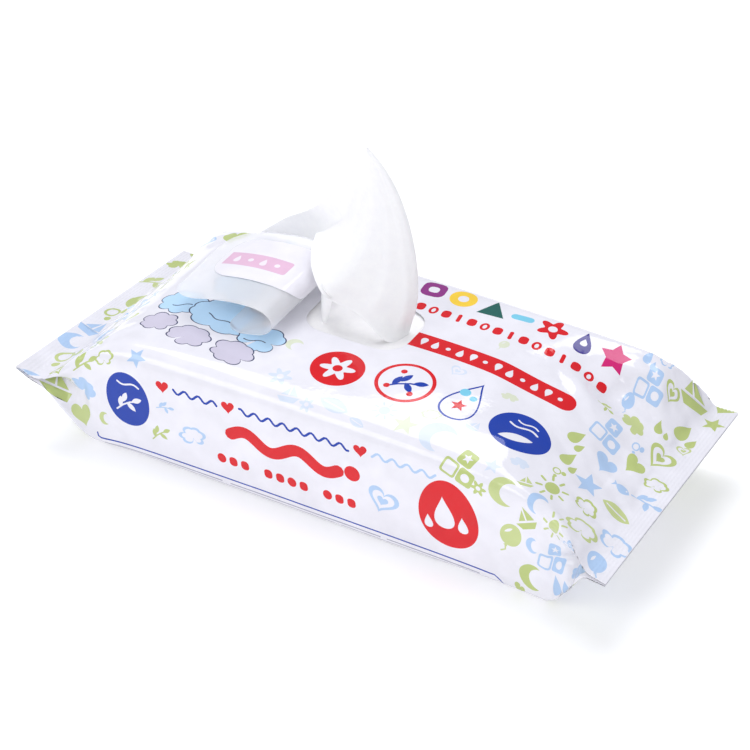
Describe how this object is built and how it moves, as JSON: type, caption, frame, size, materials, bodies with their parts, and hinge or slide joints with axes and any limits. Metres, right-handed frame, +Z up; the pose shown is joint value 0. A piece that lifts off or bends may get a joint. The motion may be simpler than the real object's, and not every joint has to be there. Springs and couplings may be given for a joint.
{
  "type": "wet wipes pack",
  "caption": "Soft film pack of wet wipes with crimped end fins, a reseal label curled back from the opening on top, and a wipe drawn up through it.",
  "frame": {"origin": "on the surface the pack lies on, under the middle of the pack", "axes": "+X along the pack from the left end fin to the right end fin, +Y from the front wall to the back wall, +Z up"},
  "size_m": [0.254, 0.122, 0.1215],
  "materials": {
    "film": "white glossy film with simple shapes printed in pale green, pale blue, blue and red",
    "stack": "damp white nonwoven, folded",
    "label": "frosted clear sticker film carrying the die-cut white film patch",
    "wipe": "damp white nonwoven, slightly translucent"
  },
  "bodies": {
    "root": {"film_wrapper": "film", "wipe_stack": "stack", "reseal_label": "label", "drawn_wipe": "wipe"}
  },
  "joints": []
}
